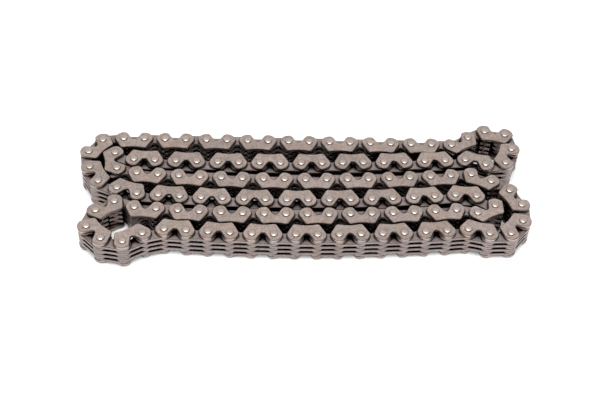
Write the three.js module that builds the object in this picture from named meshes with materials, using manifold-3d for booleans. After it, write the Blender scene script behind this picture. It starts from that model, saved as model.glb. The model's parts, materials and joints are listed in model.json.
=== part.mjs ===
// Inverted-tooth (silent) timing chain, endless, 126 pitches of 6.35 mm, folded into a flat hank
// of six strands and lying on its side with every pin upright.
//
// Pitches are numbered clockwise seen from above.  Odd pitches are guide links: two outer guide
// plates and a middle pack of plates, riveted on two pins.  Even pitches are inner links: two packs
// of plates that turn on the pins of their neighbours.  The plates' teeth point into the closed
// chain, to the right of the direction of travel, and their backs point out of it.
//
// Millimetres, +X along the strands, +Z up along the pins, origin at the middle of the base.
import * as THREE from 'three';
import { mergeVertices } from 'three/addons/utils/BufferGeometryUtils.js';
import Module from 'manifold-3d';

const wasm = await Module();
wasm.setup();

// ---- driving dimensions, in millimetres ----
const PITCH = 6.35;
const LINKS = 126;
const PLATE = 0.9;             // thickness of every plate
const LAYER = 0.95;            // plate thickness plus the oil gap to the next plate
const LAYERS = 9;              // guide, seven inner layers, guide
const GUIDE_PACK = [3, 5];     // first and last layer of a guide link's middle pack
const LOWER_PACK = [1, 2];     // of an inner link's lower pack
const UPPER_PACK = [6, 7];     // and of its upper pack
const HEAD_HEIGHT = 0.45;      // how far a riveted pin end stands out of the guide plate
const PIN_RADIUS = 0.95;
const HOLE_RADIUS = 1.0;       // 0.05 mm round the pin
const HEAD_RADIUS = 1.2;       // foot of the riveted end
const HEAD_TIP_RADIUS = 0.8;   // flat tip of the riveted end
const PIN_SIDES = 6;
const HOLE_SIDES = 8;

// ---- plate outlines, as fractions of the pitch, for the half of the plate ahead of its middle ----
const GUIDE_HALF = [[0, -0.05], [0.15, 0.03], [0.36, 0.37], [0.57, 0.40], [0.895, 0.09], [0.60, -0.56],
  [0, -0.52]];
const INNER_HALF = [[0.52, 0.385], [0.88, 0.10], [0.64, -0.55], [0.50, -0.56], [0, -0.13]];
const JOINED_END = [[0.60, 0.385], [0.60, -0.50], [0.42, -0.53]]; // inner plates joined to a guide link
const FREE_END = [[0.045, 0.385], [0.045, -0.16]];                // and stopping clear of the next run
const CROTCH = [0, -0.13];     // root between an inner plate's two teeth
const WEB_HALF_LENGTH = 0.06;  // web that joins an inner link's two packs, half of it along the link
const WEB_BACK = [0.18, 0.39]; // the web's reach across the link, on the back side ...
const WEB_TOOTH = [-0.24, -0.12]; // ... or, where the chain folds back on itself, on the tooth side

// ---- strands: pins first to last, middle of the pins (pitches), heading and total bow (degrees) ----
const STRANDS = [
  { first: 1, last: 17, x: -0.70, y: 2.86, heading: -0.7, bow: 0 },
  { first: 24, last: 40, x: -0.13, y: 1.54, heading: 180.7, bow: -7 },
  { first: 43, last: 59, x: 0.05, y: 0.53, heading: 0.4, bow: 11 },
  { first: 66, last: 80, x: 0.49, y: -2.88, heading: 180.5, bow: -11 },
  { first: 87, last: 102, x: -0.43, y: -1.66, heading: 0, bow: 11 },
  { first: 106, last: 121, x: -0.37, y: -0.76, heading: 180.3, bow: -11 },
];
// ---- bends from each strand to the next: turn on leaving the strand, then the turn at each pin ----
const BENDS = [
  { leave: 29, turns: [-3, -38, -65, -35, -57.3, -22.7] },
  { leave: -15, turns: [119, 63] },
  { leave: -31, turns: [-10.08, -26.92, -30, -35, -45, -15] },
  { leave: 20, turns: [15, -40, -35, -65, -35, -55] },
  { leave: -12, turns: [38, 118, 33] },
  { leave: -14, turns: [-5, -38, -20, -45, -45.7] },
];

const radians = THREE.MathUtils.degToRad;
const topPlate = HEAD_HEIGHT + (LAYERS - 1) * LAYER;
const layerBottom = (layer) => HEAD_HEIGHT + layer * LAYER;
const layerTop = (layer) => layerBottom(layer) + PLATE;
const fullPack = [layerBottom(LOWER_PACK[0]), layerTop(UPPER_PACK[1])];

// ---- where the pins stand ----

// Points one pitch apart, the k-th step going along headings[k].
function walk(start, headings) {
  const points = [start];
  for (const angle of headings) {
    const step = new THREE.Vector2(Math.cos(angle), Math.sin(angle));
    points.push(points.at(-1).clone().add(step));
  }
  return points;
}

// A strand is a shallow arc of equal steps, centred on its middle.
function strandPath({ first, last, x, y, heading, bow }) {
  const steps = last - first;
  const headings = Array.from({ length: steps }, (_, k) =>
    radians(heading + (k - (steps - 1) / 2) * bow / steps));
  const points = walk(new THREE.Vector2(), headings);
  const mean = points.reduce((sum, p) => sum.add(p), new THREE.Vector2()).divideScalar(points.length);
  const shift = new THREE.Vector2(x, y).sub(mean);
  return { headings, points: points.map((p) => p.add(shift)) };
}

// A bend keeps the proportions of its turns; its first heading and one common factor on the turns
// are solved by Newton's method, so that its last step ends exactly on the next strand.
function bendHeadings(from, to, firstHeading, turns) {
  const path = (start, factor) => {
    let angle = start;
    return [angle, ...turns.map((turn) => (angle += radians(turn) * factor))];
  };
  const miss = (start, factor) => walk(from, path(start, factor)).at(-1).sub(to);
  let [start, factor] = [firstHeading, 1];
  const small = 1e-6;
  for (let round = 0; round < 30; round += 1) {
    const error = miss(start, factor);
    const byStart = miss(start + small, factor).sub(error).divideScalar(small);
    const byFactor = miss(start, factor + small).sub(error).divideScalar(small);
    const det = byStart.cross(byFactor);
    start -= error.cross(byFactor) / det;
    factor -= byStart.cross(error) / det;
  }
  return path(start, factor);
}

function layOutChain() {
  const pins = new Array(LINKS);
  const headings = new Array(LINKS);
  const paths = STRANDS.map(strandPath);
  STRANDS.forEach((strand, n) => {
    const { points, headings: along } = paths[n];
    points.forEach((p, k) => { pins[strand.first + k] = p; });
    along.forEach((angle, k) => { headings[strand.first + k] = angle; });
    const bend = BENDS[n];
    const target = paths[(n + 1) % STRANDS.length].points[0];
    const begin = points.at(-1);
    const round = bendHeadings(begin, target, along.at(-1) + radians(bend.leave), bend.turns);
    const corners = walk(begin, round);
    round.forEach((angle, k) => {
      pins[(strand.last + k) % LINKS] = corners[k];
      headings[(strand.last + k) % LINKS] = angle;
    });
  });
  return { pins, headings };
}

const chain = layOutChain();
const reach = new THREE.Box2().setFromPoints(chain.pins);
const centre = reach.getCenter(new THREE.Vector2());

// The plan transform that lays a link's own frame (origin midway between its pins) in the hank.
function linkPlace(index) {
  const from = chain.pins[index % LINKS];
  const to = chain.pins[(index + 1) % LINKS];
  const middle = from.clone().add(to).multiplyScalar(0.5).sub(centre).multiplyScalar(PITCH);
  return new THREE.Matrix4().makeTranslation(middle.x, middle.y, 0)
    .multiply(new THREE.Matrix4().makeRotationZ(Math.atan2(to.y - from.y, to.x - from.x)));
}

// ---- solids in a link's own frame ----

function toSolid(geometry) {
  const bare = geometry.index ? geometry.toNonIndexed() : geometry;
  bare.deleteAttribute('normal');
  bare.deleteAttribute('uv');
  const merged = mergeVertices(bare, 1e-5);
  return new wasm.Manifold(new wasm.Mesh({
    numProp: 3,
    vertProperties: new Float32Array(merged.attributes.position.array),
    triVerts: new Uint32Array(merged.index.array),
  }));
}

function prism(points, bottom, top) {
  const shape = new THREE.Shape(points.map(([x, y]) => new THREE.Vector2(x, y)));
  const geometry = new THREE.ExtrudeGeometry(shape, { depth: top - bottom, bevelEnabled: false });
  return toSolid(geometry.translate(0, 0, bottom));
}

function plate(half, bottom, top) {
  const ahead = half.map(([x, y]) => [x * PITCH, y * PITCH]);
  const behind = ahead.filter(([x]) => x > 0).map(([x, y]) => [-x, y]).reverse();
  return prism([...ahead, ...behind], bottom, top);
}

function disc(x, radius, sides, bottom, top, topRadius = radius) {
  const geometry = new THREE.CylinderGeometry(topRadius, radius, top - bottom, sides)
    .rotateX(Math.PI / 2).translate(x, 0, (bottom + top) / 2);
  return toSolid(geometry);
}

// Flats across the polygon clear a round of the given radius.
const holeThrough = (x) => disc(x, HOLE_RADIUS / Math.cos(Math.PI / HOLE_SIDES), HOLE_SIDES, 0,
  topPlate + LAYER);

const union = (solids) => solids.reduce((whole, solid) => whole.add(solid));

// A pin riveted at both ends: body, and a low cone standing out of each guide plate.
function pin(x) {
  const top = topPlate + PLATE;
  return union([
    disc(x, PIN_RADIUS, PIN_SIDES, HEAD_HEIGHT + PLATE / 2, topPlate + PLATE / 2),
    disc(x, HEAD_TIP_RADIUS, PIN_SIDES, 0, HEAD_HEIGHT, HEAD_RADIUS),
    disc(x, HEAD_RADIUS, PIN_SIDES, top, top + HEAD_HEIGHT, HEAD_TIP_RADIUS),
  ]);
}

// Hinged guide link: guide plates below and above and the middle pack between them, on two pins.
const hingedGuideLink = () => union([
  plate(GUIDE_HALF, HEAD_HEIGHT, HEAD_HEIGHT + PLATE),
  plate(INNER_HALF, layerBottom(GUIDE_PACK[0]), layerTop(GUIDE_PACK[1])),
  plate(GUIDE_HALF, topPlate, topPlate + PLATE),
  pin(-PITCH / 2),
  pin(PITCH / 2),
]);

// Guide link inside a strand: its plates are joined into one block over the whole width.
const joinedGuideLink = () => union([
  plate(GUIDE_HALF, HEAD_HEIGHT, topPlate + PLATE),
  pin(-PITCH / 2),
  pin(PITCH / 2),
]);

// Hinged inner link: a pack of plates on each side of the guide link's pack, joined by a narrow
// web, with a running hole at each end that turns on the pin of another node.
function hingedInnerLink(holeAtStart, holeAtEnd, web) {
  const [low, high] = web.map((y) => y * PITCH);
  const half = WEB_HALF_LENGTH * PITCH;
  let link = union([
    plate(INNER_HALF, layerBottom(LOWER_PACK[0]), layerTop(LOWER_PACK[1])),
    prism([[-half, low], [half, low], [half, high], [-half, high]], ...fullPack),
    plate(INNER_HALF, layerBottom(UPPER_PACK[0]), layerTop(UPPER_PACK[1])),
  ]);
  if (holeAtStart) link = link.subtract(holeThrough(-PITCH / 2));
  if (holeAtEnd) link = link.subtract(holeThrough(PITCH / 2));
  return link;
}

// Inner link inside a strand: one block, joined to the guide link of its own run at either end or
// stopping clear of the guide link of the next run.
function joinedInnerLink(joinedBehind, joinedAhead) {
  const ahead = joinedAhead ? JOINED_END : FREE_END;
  const behind = (joinedBehind ? JOINED_END : FREE_END).map(([x, y]) => [-x, y]).reverse();
  const outline = [...ahead, CROTCH, ...behind].map(([x, y]) => [x * PITCH, y * PITCH]);
  return prism(outline, ...fullPack);
}

// ---- named runs of links ----

const STEEL = { color: 0x8f8984, roughness: 0.42, metalness: 0.85 };
const INNER_STEEL = { color: 0x77716d, roughness: 0.5, metalness: 0.85 };
const hank = new THREE.Group();

function addRun(name, first, count, { hinges, finish = STEEL, web = WEB_BACK }) {
  const parts = [];
  for (let k = 0; k < count; k += 1) {
    const index = (first + k) % LINKS;
    const isFirst = k === 0;
    const isLast = k === count - 1;
    const hingedStart = isFirst && hinges.start;
    const hingedEnd = isLast && hinges.end;
    const isHinged = hingedStart || hingedEnd;
    let link;
    if (index % 2 === 1) link = isHinged ? hingedGuideLink() : joinedGuideLink();
    else if (isHinged) link = hingedInnerLink(hingedStart, hingedEnd, web);
    else link = joinedInnerLink(!isFirst, !isLast);
    parts.push(link.transform(linkPlace(index).toArray()));
  }
  const mesh = union(parts).getMesh();
  const geometry = new THREE.BufferGeometry();
  geometry.setAttribute('position', new THREE.BufferAttribute(mesh.vertProperties, 3));
  geometry.setIndex(new THREE.BufferAttribute(mesh.triVerts, 1));
  geometry.computeVertexNormals();
  const node = new THREE.Mesh(geometry, new THREE.MeshStandardMaterial(finish));
  node.name = name;
  hank.add(node);
}

// Straight strands, each in five runs of joined pitches.
const RUNS = [
  { strand: 'strand_1', first: 1, sizes: [3, 4, 3, 4, 3] },
  { strand: 'strand_2', first: 23, sizes: [3, 4, 3, 4, 3] },
  { strand: 'strand_3', first: 43, sizes: [3, 3, 4, 3, 3] },
  { strand: 'strand_4', first: 105, sizes: [3, 3, 4, 3, 3] },
  { strand: 'strand_5', first: 87, sizes: [3, 3, 3, 3, 3] },
  { strand: 'strand_6', first: 65, sizes: [3, 4, 3, 4, 3] },
];
for (const { strand, first, sizes } of RUNS) {
  let index = first;
  sizes.forEach((size, k) => {
    const hinges = { start: k === 0, end: k === sizes.length - 1 };
    addRun(`${strand}_run_${k + 1}`, index, size, { hinges });
    index += size;
  });
}

// Every link of a bend or an end loop is a node of its own.
const BEND_LINKS = [
  { bend: 'right_end_loop', first: 18, count: 5, web: WEB_BACK },
  { bend: 'left_inner_bend', first: 40, count: 3, web: WEB_TOOTH },
  { bend: 'right_outer_bend', first: 59, count: 6, web: WEB_BACK },
  { bend: 'left_end_loop', first: 82, count: 5, web: WEB_BACK },
  { bend: 'right_inner_bend', first: 102, count: 3, web: WEB_TOOTH },
  { bend: 'left_outer_bend', first: 121, count: 6, web: WEB_BACK },
];
for (const { bend, first, count, web } of BEND_LINKS) {
  for (let k = 0; k < count; k += 1) {
    const index = (first + k) % LINKS;
    const isGuide = index % 2 === 1;
    const finish = isGuide ? STEEL : INNER_STEEL;
    const name = `${bend}_${isGuide ? 'guide' : 'inner'}_link_${index}`;
    addRun(name, index, 1, { hinges: { start: true, end: true }, finish, web });
  }
}

export default hank;
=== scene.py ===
"""Inverted-tooth timing chain: an endless chain of laced steel plates, folded into a flat hank.

Every link is laid out from the same strands and bends as the solid model, in metres.
A guide link is two guide plates with three link plates between them, riveted on two pins.
An inner link is four link plates that turn on the pins of the guide links beside it.
"""
import json
import math

import bpy
import numpy as np
from mathutils import Matrix


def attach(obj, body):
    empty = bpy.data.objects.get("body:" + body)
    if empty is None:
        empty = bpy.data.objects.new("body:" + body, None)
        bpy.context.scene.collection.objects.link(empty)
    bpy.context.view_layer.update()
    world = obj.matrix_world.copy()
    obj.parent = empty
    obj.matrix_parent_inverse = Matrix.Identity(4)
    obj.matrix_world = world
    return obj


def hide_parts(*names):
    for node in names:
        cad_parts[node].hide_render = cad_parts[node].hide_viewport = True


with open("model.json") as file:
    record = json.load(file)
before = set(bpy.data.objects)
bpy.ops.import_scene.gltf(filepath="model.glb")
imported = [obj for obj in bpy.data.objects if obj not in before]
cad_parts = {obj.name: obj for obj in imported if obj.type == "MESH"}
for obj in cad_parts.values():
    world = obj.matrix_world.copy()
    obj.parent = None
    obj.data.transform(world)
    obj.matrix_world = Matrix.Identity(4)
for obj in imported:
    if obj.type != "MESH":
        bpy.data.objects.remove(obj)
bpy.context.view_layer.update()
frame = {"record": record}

# ---- driving sizes, in metres unless a line says otherwise ----
MM = 0.001
PITCH = 6.35 * MM
LINKS = 126
PLATE = 0.9 * MM            # thickness of a plate
LAYER = 0.95 * MM           # plate and the oil gap to the next one
TOP_LAYER = 8               # the upper guide plate; the lower one is layer 0
HEAD_HEIGHT = 0.45 * MM     # a riveted pin end stands this far out of its guide plate
HEAD_RADIUS = 1.17 * MM
PIN_RADIUS = 0.95 * MM
CHAMFER = 0.15 * MM         # rolled edge of a guide plate
LINK_CHAMFER = 0.12 * MM    # rolled edge of a link plate
PLAY = 0.025 * MM           # how far a plate may sit off its middle on the pins
HEAD_SIDES = 14
PLATE_CREASE = 38           # degrees; plate faces meeting at less than this shade as one
PIN_CREASE = 50
FLOOR_GAP = 0.02 * MM       # the table top lies this far below the lowest pin ends
GUIDE_LINK_LAYERS = (2, 4, 6)
INNER_LINK_LAYERS = (1, 3, 5, 7)

# ---- strands: first and last pin, middle of the pins (pitches), heading and bow (degrees) ----
STRANDS = (
    (1, 17, -0.70, 2.86, -0.7, 0),
    (24, 40, -0.13, 1.54, 180.7, -7),
    (43, 59, 0.05, 0.53, 0.4, 11),
    (66, 80, 0.49, -2.88, 180.5, -11),
    (87, 102, -0.43, -1.66, 0, 11),
    (106, 121, -0.37, -0.76, 180.3, -11),
)
# ---- bends from each strand to the next: turn on leaving, then the turn at each pin (degrees) ----
BENDS = (
    (29, (-3, -38, -65, -35, -57.3, -22.7)),
    (-15, (119, 63)),
    (-31, (-10.08, -26.92, -30, -35, -45, -15)),
    (20, (15, -40, -35, -65, -35, -55)),
    (-12, (38, 118, 33)),
    (-14, (-5, -38, -20, -45, -45.7)),
)

# ---- plate outlines, half of the plate ahead of its middle, back to tooth, in pitches ----
GUIDE_HALF = (
    (0.0, -0.075), (0.075, -0.045), (0.135, 0.03), (0.225, 0.175), (0.315, 0.325),
    (0.385, 0.392), (0.49, 0.412), (0.62, 0.392), (0.76, 0.318), (0.865, 0.19), (0.91, 0.04),
    (0.885, -0.09), (0.82, -0.205), (0.635, -0.53), (0.59, -0.572), (0.53, -0.59),
    (0.44, -0.58), (0.24, -0.545),
)
GUIDE_TOOTH_MIDDLE = (0.0, -0.528)
LINK_HALF = (
    (0.0, 0.385), (0.50, 0.395), (0.66, 0.36), (0.80, 0.26), (0.88, 0.12), (0.885, -0.06),
    (0.83, -0.20), (0.645, -0.53), (0.60, -0.562), (0.54, -0.566), (0.49, -0.53),
    (0.10, -0.17),
)
LINK_CROTCH = (0.0, -0.13)


# ---------------------------------------------------------------- where the links lie

def strand_path(first, last, x, y, heading, bow):
    """Equal steps whose heading grows evenly by the bow, centred on the strand's middle."""
    steps = last - first
    turn = heading + (np.arange(steps) - (steps - 1) / 2) * bow / steps
    along = np.radians(turn)
    corners = np.zeros((steps + 1, 2))
    corners[1:] = np.cumsum(np.column_stack((np.cos(along), np.sin(along))), axis=0)
    return along, corners - corners.mean(axis=0) + (x, y)


def bend_headings(begin, end, start, turns):
    """Headings start, start + factor * (sum of turns so far); Newton's method finds the start
    and the factor for which the unit steps lead exactly from begin to end."""
    grown = np.concatenate(((0.0,), np.cumsum(np.radians(turns))))
    guess = np.array((start, 1.0))
    for _ in range(30):
        along = guess[0] + guess[1] * grown
        miss = np.array((np.cos(along).sum(), np.sin(along).sum())) - (end - begin)
        slope = np.array((
            (-np.sin(along).sum(), (-np.sin(along) * grown).sum()),
            (np.cos(along).sum(), (np.cos(along) * grown).sum()),
        ))
        guess = guess - np.linalg.solve(slope, miss)
    return guess[0] + guess[1] * grown


def lay_out_chain():
    """Pin positions in metres, centred on the box round the pins."""
    paths = [strand_path(*strand) for strand in STRANDS]
    pins = np.zeros((LINKS, 2))
    for n, (strand, bend) in enumerate(zip(STRANDS, BENDS)):
        along, corners = paths[n]
        pins[strand[0]:strand[1] + 1] = corners
        end = paths[(n + 1) % len(paths)][1][0]
        round_bend = bend_headings(corners[-1], end, along[-1] + math.radians(bend[0]), bend[1])
        index = (strand[1] + np.arange(len(round_bend))) % LINKS
        steps = np.column_stack((np.cos(round_bend), np.sin(round_bend)))
        pins[index] = corners[-1] + np.cumsum(steps, axis=0) - steps
    centre = (pins.min(axis=0) + pins.max(axis=0)) / 2
    return (pins - centre) * PITCH


PINS = lay_out_chain()


# ---------------------------------------------------------------- which body and node a link is on

def link_homes():
    """The CAD node and the body of each link, from the names of the nodes."""
    runs = {
        "strand_1": (1, (3, 4, 3, 4, 3)), "strand_2": (23, (3, 4, 3, 4, 3)),
        "strand_3": (43, (3, 3, 4, 3, 3)), "strand_4": (105, (3, 3, 4, 3, 3)),
        "strand_5": (87, (3, 3, 3, 3, 3)), "strand_6": (65, (3, 4, 3, 4, 3)),
    }
    nodes = {}
    for strand, (first, sizes) in runs.items():
        for number, size in enumerate(sizes):
            for link in range(first, first + size):
                nodes[link % LINKS] = f"{strand}_run_{number + 1}"
            first += size
    body_of_node = {}
    for body, names in frame["record"]["behaviour"]["bodies"].items():
        for name in names:
            body_of_node[name] = body
            if "_link_" in name:
                nodes[int(name.rsplit("_", 1)[1])] = name
    return nodes, {link: body_of_node[node] for link, node in nodes.items()}


NODE_OF, BODY_OF = link_homes()


# ---------------------------------------------------------------- shapes

def whole_outline(half, middle):
    """The half outline, the middle of the tooth side, and the half mirrored across the middle,
    turned to run anticlockwise; in metres."""
    ahead = np.array(half)
    behind = ahead[:0:-1] * (-1, 1)
    outline = np.vstack((ahead, (middle,), behind))
    return outline[::-1] * PITCH


def inset(outline, depth):
    """Every corner moved inwards along the mean of its two edge normals, by depth."""
    edge = np.roll(outline, -1, axis=0) - outline
    normal = np.column_stack((-edge[:, 1], edge[:, 0])) / np.linalg.norm(edge, axis=1)[:, None]
    mean = normal + np.roll(normal, 1, axis=0)
    mean /= np.linalg.norm(mean, axis=1)[:, None]
    return outline + mean * depth


GUIDE_OUTLINE = whole_outline(GUIDE_HALF, GUIDE_TOOTH_MIDDLE)
LINK_OUTLINE = whole_outline(LINK_HALF, LINK_CROTCH)
GUIDE_INSET = inset(GUIDE_OUTLINE, CHAMFER)
LINK_INSET = inset(LINK_OUTLINE, LINK_CHAMFER)


def loft(rings):
    """Rings of equal length joined by quads, closed by a flat face at each end; anticlockwise
    rings from low to high give outward faces."""
    count = len(rings[0])
    here = np.arange(count)
    nxt = (here + 1) % count
    walls = [
        np.column_stack((here, nxt, nxt + count, here + count)) + level * count
        for level in range(len(rings) - 1)
    ]
    top = here + (len(rings) - 1) * count
    faces = [here[::-1].tolist()] + [q for wall in walls for q in wall.tolist()] + [top.tolist()]
    return np.vstack(rings), faces


def at_height(outline, z):
    return np.column_stack((outline, np.full(len(outline), z)))


def guide_plate(layer):
    """A guide plate: straight walls, with a rolled edge on its outer face only."""
    low = HEAD_HEIGHT + layer * LAYER
    high = low + PLATE
    if layer == 0:
        rings = (
            at_height(GUIDE_INSET, low),
            at_height(GUIDE_OUTLINE, low + CHAMFER),
            at_height(GUIDE_OUTLINE, high),
        )
        return loft(rings)
    rings = (
        at_height(GUIDE_OUTLINE, low),
        at_height(GUIDE_OUTLINE, high - CHAMFER),
        at_height(GUIDE_INSET, high),
    )
    return loft(rings)


def link_plate(layer):
    """A link plate: straight walls, with its rolled edge on the upper face."""
    low = HEAD_HEIGHT + layer * LAYER
    high = low + PLATE
    rings = (
        at_height(LINK_OUTLINE, low),
        at_height(LINK_OUTLINE, high - LINK_CHAMFER),
        at_height(LINK_INSET, high),
    )
    return loft(rings)


def riveted_pin():
    """A profile of radius and height turned round the pin's axis: flat tip, spun dome, foot on
    the guide plate, and the shank between the two heads."""
    foot = HEAD_HEIGHT
    top = HEAD_HEIGHT + TOP_LAYER * LAYER + PLATE
    radius = HEAD_RADIUS * np.array((0.34, 0.74, 0.95, 1.0))
    height = HEAD_HEIGHT * np.array((0.0, 0.22, 0.50, 1.0))
    radii = np.concatenate((radius, (PIN_RADIUS, PIN_RADIUS), radius[::-1]))
    heights = np.concatenate((height, (foot, top), top + foot - height[::-1]))
    turn = np.linspace(0, 2 * math.pi, HEAD_SIDES, endpoint=False)
    circle = np.column_stack((np.cos(turn), np.sin(turn)))
    return loft([at_height(circle * r, z) for r, z in zip(radii, heights)])


# ---------------------------------------------------------------- finishes

def new_finish(name):
    finish = bpy.data.materials.new(name)
    finish.use_nodes = True
    nodes = finish.node_tree.nodes
    shader = nodes["Principled BSDF"]
    return finish, nodes, finish.node_tree.links, shader


# painted shade: samples for measuring how closely other steel stands round a surface
CREVICE_SHADE_SAMPLES = 20


def painted_crevice_shade(nodes, links, colour, reach, closed, darkest, clear):
    """Painted shade: a surface is darkened where other steel stands close round it, as shade falls
    there: the share of open space within reach is ramped from darkest, at closed, to bare steel at
    clear, and it multiplies the colour."""
    space = nodes.new("ShaderNodeAmbientOcclusion")
    space.samples = CREVICE_SHADE_SAMPLES
    space.inputs["Distance"].default_value = reach
    share = ramp(nodes, links, space.outputs["AO"], ((closed, grey(darkest)), (clear, grey(1.0))))
    return blend_colours(nodes, links, "MULTIPLY", 1.0, colour, share)


def noise(nodes, links, where, scale, detail, roughness):
    node = nodes.new("ShaderNodeTexNoise")
    node.inputs["Scale"].default_value = scale
    node.inputs["Detail"].default_value = detail
    node.inputs["Roughness"].default_value = roughness
    links.new(where, node.inputs["Vector"])
    return node.outputs["Fac"]


def ramp(nodes, links, value, stops):
    node = nodes.new("ShaderNodeValToRGB")
    band = node.color_ramp
    band.elements[0].position = stops[0][0]
    band.elements[0].color = stops[0][1]
    band.elements[1].position = stops[-1][0]
    band.elements[1].color = stops[-1][1]
    for position, colour in stops[1:-1]:
        band.elements.new(position).color = colour
    links.new(value, node.inputs["Fac"])
    return node.outputs["Color"]


def blend_colours(nodes, links, how, amount, first, second):
    node = nodes.new("ShaderNodeMix")
    node.data_type = "RGBA"
    node.blend_type = how
    for socket, value in ((node.inputs[0], amount), (node.inputs[6], first), (node.inputs[7], second)):
        if isinstance(value, (float, tuple)):
            socket.default_value = value
        else:
            links.new(value, socket)
    return node.outputs[2]


def grey(value):
    return (value, value, value, 1.0)


# painted shade: the near-black towards which the rolled edges and the sides of the pin heads by their
# feet are mixed
PAINTED_SHADE_BLACK = (0.030, 0.022, 0.019, 1.0)
PLATE_PITTING = 0.012 * MM
PIN_PITTING = 0.01 * MM


def plate_steel(name, dark, light, bronze, rough, deep_painted_shade, near_painted_shade):
    """Tumbled, lightly oiled punched steel: mottled in patches of a millimetre or two, finely pitted,
    a little bronze where the temper colour is left, dark with painted shade along its rolled edges and
    wherever other steel stands close, and a shade apart from plate to plate."""
    finish, nodes, links, shader = new_finish(name)
    where = nodes.new("ShaderNodeTexCoord").outputs["Object"]
    patches = noise(nodes, links, where, 620.0, 4.0, 0.6)
    grain = noise(nodes, links, where, 2300.0, 3.0, 0.7)
    temper = noise(nodes, links, where, 170.0, 2.0, 0.5)
    tone = nodes.new("ShaderNodeAttribute")
    tone.attribute_name = "tone"
    # painted shade on the rolled edges, as a share of each face
    painted_edge_shade = nodes.new("ShaderNodeAttribute")
    painted_edge_shade.attribute_name = "painted_edge_shade"
    colour = ramp(nodes, links, patches, ((0.32, dark), (0.68, light)))
    tint = ramp(nodes, links, temper, ((0.45, grey(1.0)), (0.72, bronze)))
    colour = blend_colours(nodes, links, "MULTIPLY", 1.0, colour, tint)
    speck = ramp(nodes, links, grain, ((0.30, grey(0.66)), (0.50, grey(1.0)), (0.70, grey(1.22))))
    colour = blend_colours(nodes, links, "MULTIPLY", 1.0, colour, speck)
    colour = blend_colours(nodes, links, "MULTIPLY", 1.0, colour, tone.outputs["Color"])
    # painted shade: the rolled edges are mixed towards near-black
    colour = blend_colours(nodes, links, "MIX", painted_edge_shade.outputs["Fac"], colour, PAINTED_SHADE_BLACK)
    # painted shade: darker where other steel stands close, in the slots, the gaps between plates and
    # round the pin heads
    colour = painted_crevice_shade(nodes, links, colour, *deep_painted_shade)
    colour = painted_crevice_shade(nodes, links, colour, *near_painted_shade)
    links.new(colour, shader.inputs["Base Color"])
    spread = ramp(nodes, links, grain, ((0.25, grey(rough - 0.07)), (0.80, grey(rough + 0.10))))
    links.new(spread, shader.inputs["Roughness"])
    bump = nodes.new("ShaderNodeBump")
    bump.inputs["Strength"].default_value = 0.35
    bump.inputs["Distance"].default_value = PLATE_PITTING
    links.new(grain, bump.inputs["Height"])
    links.new(bump.outputs["Normal"], shader.inputs["Normal"])
    shader.inputs["Metallic"].default_value = 1.0
    return finish


def rivet_steel():
    """Pin ends burnished by the riveting punch: light, with small pits, and painted shade on the sides
    of the head by its foot and where the guide plate stands close round it.
    """
    finish, nodes, links, shader = new_finish("burnished_pin_steel")
    where = nodes.new("ShaderNodeTexCoord").outputs["Object"]
    patches = noise(nodes, links, where, 900.0, 3.0, 0.55)
    pits = noise(nodes, links, where, 4200.0, 2.0, 0.6)
    dark = (0.50, 0.425, 0.38, 1.0)
    light = (0.60, 0.52, 0.47, 1.0)
    colour = ramp(nodes, links, patches, ((0.30, dark), (0.70, light)))
    speck = ramp(nodes, links, pits, ((0.28, grey(0.80)), (0.46, grey(1.0))))
    colour = blend_colours(nodes, links, "MULTIPLY", 1.0, colour, speck)
    # painted shade on the sides of the head by its foot, as a share of each face
    painted_edge_shade = nodes.new("ShaderNodeAttribute")
    painted_edge_shade.attribute_name = "painted_edge_shade"
    colour = blend_colours(nodes, links, "MIX", painted_edge_shade.outputs["Fac"], colour, PAINTED_SHADE_BLACK)
    # painted shade: darker where the guide plate stands close round the pin's foot
    colour = painted_crevice_shade(nodes, links, colour, 0.6 * MM, 0.46, 0.30, 0.84)
    links.new(colour, shader.inputs["Base Color"])
    spread = ramp(nodes, links, pits, ((0.3, grey(0.30)), (0.75, grey(0.38))))
    links.new(spread, shader.inputs["Roughness"])
    bump = nodes.new("ShaderNodeBump")
    bump.inputs["Strength"].default_value = 0.25
    bump.inputs["Distance"].default_value = PIN_PITTING
    links.new(pits, bump.inputs["Height"])
    links.new(bump.outputs["Normal"], shader.inputs["Normal"])
    shader.inputs["Metallic"].default_value = 1.0
    return finish


# Both steels: dark and light mottle, bronze tint, roughness, then the reach, closed share, darkest
# value and clear share of the deep painted shade and of the near painted shade, which darken the steel
# where other steel stands close.
GUIDE_STEEL = plate_steel(
    "guide_plate_steel",
    (0.345, 0.282, 0.252, 1.0), (0.440, 0.366, 0.335, 1.0), (1.06, 0.98, 0.93, 1.0), 0.40,
    (5.0 * MM, 0.26, 0.0, 0.70), (0.8 * MM, 0.50, 0.12, 0.86),
)
# The link plates are darker than the guide plates partly as their own colour and partly as painted
# shade for their place between the guide plates.
LINK_STEEL = plate_steel(
    "link_plate_steel",
    (0.245, 0.206, 0.196, 1.0), (0.325, 0.276, 0.265, 1.0), (1.05, 0.97, 0.93, 1.0), 0.43,
    (5.0 * MM, 0.20, 0.0, 0.55), (2.6 * MM, 0.57, 0.02, 0.68),
)
RIVET_STEEL = rivet_steel()


# ---------------------------------------------------------------- building the pieces

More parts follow.
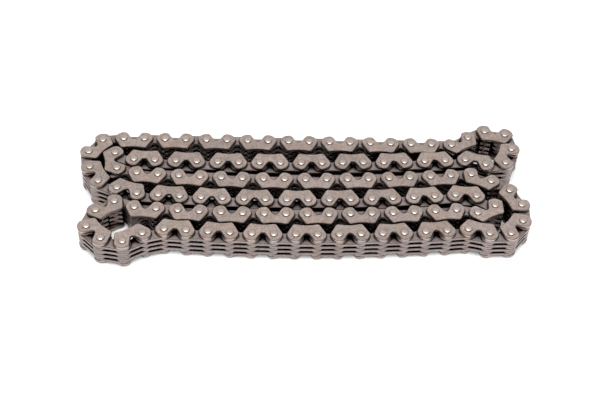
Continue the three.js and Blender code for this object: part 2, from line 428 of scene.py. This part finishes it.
class Stack:
    """Gathers solids of one piece: placed corners, faces, finish, tone and painted edge shade of each
    face.
    """

    def __init__(self):
        self.corners = []
        self.faces = []
        self.finish = []
        self.tone = []
        self.painted_edge_shade = []
        self.count = 0

    def add(self, solid, middle, heading, finish, tone, painted_shade_rows, painted_edge_shade):
        corners, faces = solid
        c, s = math.cos(heading), math.sin(heading)
        turn = np.array(((c, s, 0.0), (-s, c, 0.0), (0.0, 0.0, 1.0)))
        self.corners.append(corners @ turn + (middle[0], middle[1], 0.0))
        self.faces += [[k + self.count for k in face] for face in faces]
        self.count += len(corners)
        # painted shade: the listed rows of faces get this share of near-black
        amount = np.zeros(len(faces))
        for rows in painted_shade_rows:
            amount[rows] = painted_edge_shade
        self.finish.append(np.full(len(faces), finish))
        shade = np.full(len(faces), tone)
        # painted light on the flat upper face, against the walls
        shade[-1] *= PAINTED_TOP_LIGHT
        self.tone.append(shade)
        self.painted_edge_shade.append(amount)

    def piece(self, name, finishes, smooth_below):
        mesh = bpy.data.meshes.new(name)
        mesh.from_pydata(np.vstack(self.corners).tolist(), [], self.faces)
        for finish in finishes:
            mesh.materials.append(finish)
        mesh.polygons.foreach_set("material_index", np.concatenate(self.finish).astype(np.int32))
        mesh.polygons.foreach_set("use_smooth", np.ones(len(self.faces), dtype=bool))
        # the second attribute is the painted shade on rolled edges and pin-head feet
        for label, values in (("tone", self.tone), ("painted_edge_shade", self.painted_edge_shade)):
            layer = mesh.attributes.new(label, "FLOAT", "FACE")
            layer.data.foreach_set("value", np.concatenate(values).astype(np.float32))
        mesh.set_sharp_from_angle(angle=math.radians(smooth_below))
        mesh.update()
        made = bpy.data.objects.new(name, mesh)
        bpy.context.scene.collection.objects.link(made)
        return made


rng = np.random.default_rng(126)
LINK_TONES = (0.88, 1.10)   # shade of single plates against their steel
GUIDE_TONES = (0.94, 1.06)
LINK_EDGE_SHADE = 0.8         # how much painted shade darkens the rolled edges and the sides of the pin heads by their feet
GUIDE_EDGE_SHADE = 0.75
PIN_FOOT_SHADE = 0.85
GUIDE_SIDES = len(GUIDE_OUTLINE)
LINK_SIDES = len(LINK_OUTLINE)
UPPER_GUIDE_EDGE = slice(1 + GUIDE_SIDES, 1 + 2 * GUIDE_SIDES)
LOWER_GUIDE_EDGE = slice(1, 1 + GUIDE_SIDES)
UPPER_LINK_EDGE = slice(1 + LINK_SIDES, 1 + 2 * LINK_SIDES)
PAINTED_TOP_LIGHT = 1.13              # painted light: the flat upper faces are made this much lighter than the walls, so the walls read as shaded
# the sides of the pin heads by their feet, which get painted shade
PIN_FEET = (
    slice(1 + 2 * HEAD_SIDES, 1 + 3 * HEAD_SIDES),
    slice(1 + 6 * HEAD_SIDES, 1 + 7 * HEAD_SIDES),
)


def finish_piece(made, link):
    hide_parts(NODE_OF[link])
    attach(made, BODY_OF[link])


for link in range(LINKS):
    begin = PINS[link]
    end = PINS[(link + 1) % LINKS]
    middle = (begin + end) / 2
    heading = math.atan2(end[1] - begin[1], end[0] - begin[0])
    is_guide = link % 2 == 1
    stack = Stack()
    for layer in GUIDE_LINK_LAYERS if is_guide else INNER_LINK_LAYERS:
        off = middle + rng.uniform(-PLAY, PLAY, 2)
        tone = rng.uniform(*LINK_TONES)
        stack.add(link_plate(layer), off, heading, 1, tone, (UPPER_LINK_EDGE,), LINK_EDGE_SHADE)
    if is_guide:
        for layer, edge in ((0, LOWER_GUIDE_EDGE), (TOP_LAYER, UPPER_GUIDE_EDGE)):
            tone = rng.uniform(*GUIDE_TONES)
            stack.add(guide_plate(layer), middle, heading, 0, tone, (edge,), GUIDE_EDGE_SHADE)
    name = f"guide_link_{link:03d}" if is_guide else f"inner_link_{link:03d}"
    made = stack.piece(name, (GUIDE_STEEL, LINK_STEEL), PLATE_CREASE)
    finish_piece(made, link)
    if is_guide:
        pair = Stack()
        for pin in (begin, end):
            pair.add(riveted_pin(), pin, rng.uniform(0, 1), 0, 1.0, PIN_FEET, PIN_FOOT_SHADE)
        rivets = pair.piece(f"riveted_pins_{link:03d}", (RIVET_STEEL,), PIN_CREASE)
        finish_piece(rivets, link)


# ---------------------------------------------------------------- floor, lights and camera

def plain_floor():
    side = 3.0
    low = -FLOOR_GAP
    corners = [(-side, -side, low), (side, -side, low), (side, side, low), (-side, side, low)]
    mesh = bpy.data.meshes.new("floor")
    mesh.from_pydata(corners, [], [(0, 1, 2, 3)])
    floor = bpy.data.objects.new("floor", mesh)
    bpy.context.scene.collection.objects.link(floor)
    white, _, _, shader = new_finish("white_table")
    shader.inputs["Base Color"].default_value = (0.92, 0.92, 0.92, 1.0)
    shader.inputs["Roughness"].default_value = 0.9
    mesh.materials.append(white)


def soft_light(name, place, size, power):
    """A round softbox that looks at the middle of the hank."""
    light = bpy.data.lights.new(name, "AREA")
    light.shape = "DISK"
    light.size = size
    light.energy = power
    lamp = bpy.data.objects.new(name, light)
    lamp.location = place
    away = np.array(place)
    away /= np.linalg.norm(away)
    tilt = math.acos(away[2])
    lamp.rotation_euler = (0.0, tilt, math.atan2(away[1], away[0]))
    bpy.context.scene.collection.objects.link(lamp)


def studio():
    plain_floor()
    world = bpy.data.worlds.new("studio")
    world.use_nodes = True
    world.node_tree.nodes["Background"].inputs["Color"].default_value = (1.0, 1.0, 1.0, 1.0)
    world.node_tree.nodes["Background"].inputs["Strength"].default_value = 0.80
    bpy.context.scene.world = world
    bpy.context.scene.view_settings.view_transform = "Standard"
    soft_light("softbox_overhead", (-0.05, -0.30, 0.75), 0.80, 7.5)


def camera():
    """Looks down from the front at 48.6 degrees, a little from the left, and slightly rolled."""
    azimuth = math.radians(-4.6458)
    down = math.radians(48.6442)
    roll = math.radians(-4.0235)
    level = np.array((math.cos(azimuth), math.sin(azimuth), 0.0))
    ahead = np.array((-math.sin(azimuth), math.cos(azimuth), 0.0))
    rise = np.array((0.0, 0.0, 1.0))
    view = ahead * math.cos(down) - rise * math.sin(down)
    above = ahead * math.sin(down) + rise * math.cos(down)
    right = level * math.cos(roll) - above * math.sin(roll)
    up = level * math.sin(roll) + above * math.cos(roll)
    data = bpy.data.cameras.new("camera")
    data.sensor_width = 36.0
    data.lens = 72.219
    data.clip_start = 0.01
    eye = bpy.data.objects.new("camera", data)
    place = np.eye(4)
    place[:3, 0] = right
    place[:3, 1] = up
    place[:3, 2] = -view
    place[:3, 3] = (-0.0205, -0.24174, 0.27677)
    eye.matrix_world = Matrix(place.tolist())
    bpy.context.scene.collection.objects.link(eye)
    bpy.context.scene.camera = eye


studio()
camera()
